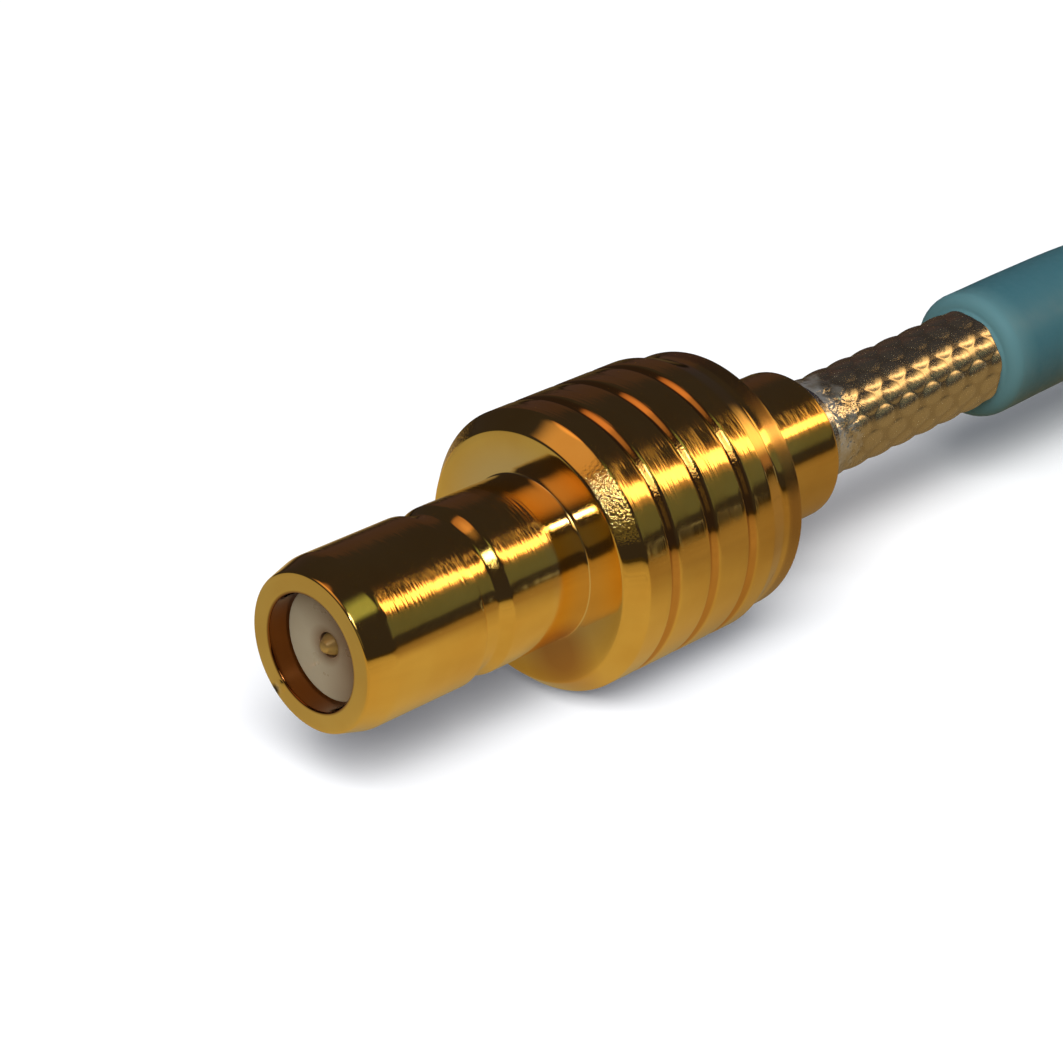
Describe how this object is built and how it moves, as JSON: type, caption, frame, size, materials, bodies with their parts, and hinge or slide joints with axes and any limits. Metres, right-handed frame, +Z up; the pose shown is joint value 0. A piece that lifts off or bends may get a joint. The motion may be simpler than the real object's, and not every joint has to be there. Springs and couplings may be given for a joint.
{
  "type": "smb connector",
  "caption": "Push-on miniature coaxial jack with a male pin and a grooved round body, soldered to the bare braid of a thin jacketed jumper cable that ends in a like jack.",
  "frame": {"origin": "on the plane that the jack lies on, under the middle of the near jack and its bare braid", "axes": "+Y along the near jack's axis from its mating face to the cable, +Z up"},
  "size_m": [0.0387, 0.0858, 0.0099],
  "materials": {
    "gold_plate": "polished gold plate with fine turning lines",
    "ptfe": "matte white",
    "solder": "bright solder",
    "tinned_braid": "satin tinned weave",
    "silvered_copper": "drawn wire",
    "core_insulation": "matte white",
    "teal_jacket": "satin extruded jacket",
    "nylon": "natural nylon"
  },
  "bodies": {
    "root": {"outer_body": "gold_plate", "front_insulator": "ptfe", "centre_contact": "gold_plate", "rear_insulator": "ptfe", "contact_solder": "solder", "cable_ferrule": "gold_plate", "solder_fillet": "solder", "cable_conductor": "silvered_copper", "cable_dielectric": "core_insulation", "cable_braid": "tinned_braid", "far_outer_body": "gold_plate", "far_front_insulator": "ptfe", "far_centre_contact": "gold_plate", "far_rear_insulator": "ptfe", "far_contact_solder": "solder", "far_cable_ferrule": "gold_plate", "far_solder_fillet": "solder", "far_cable_conductor": "silvered_copper", "far_cable_dielectric": "core_insulation", "far_cable_braid": "tinned_braid", "cable_lead": "teal_jacket", "cable_tail": "teal_jacket", "cable_coil": "teal_jacket", "coil_tie_a": "nylon", "coil_tie_b": "nylon"}
  },
  "joints": []
}
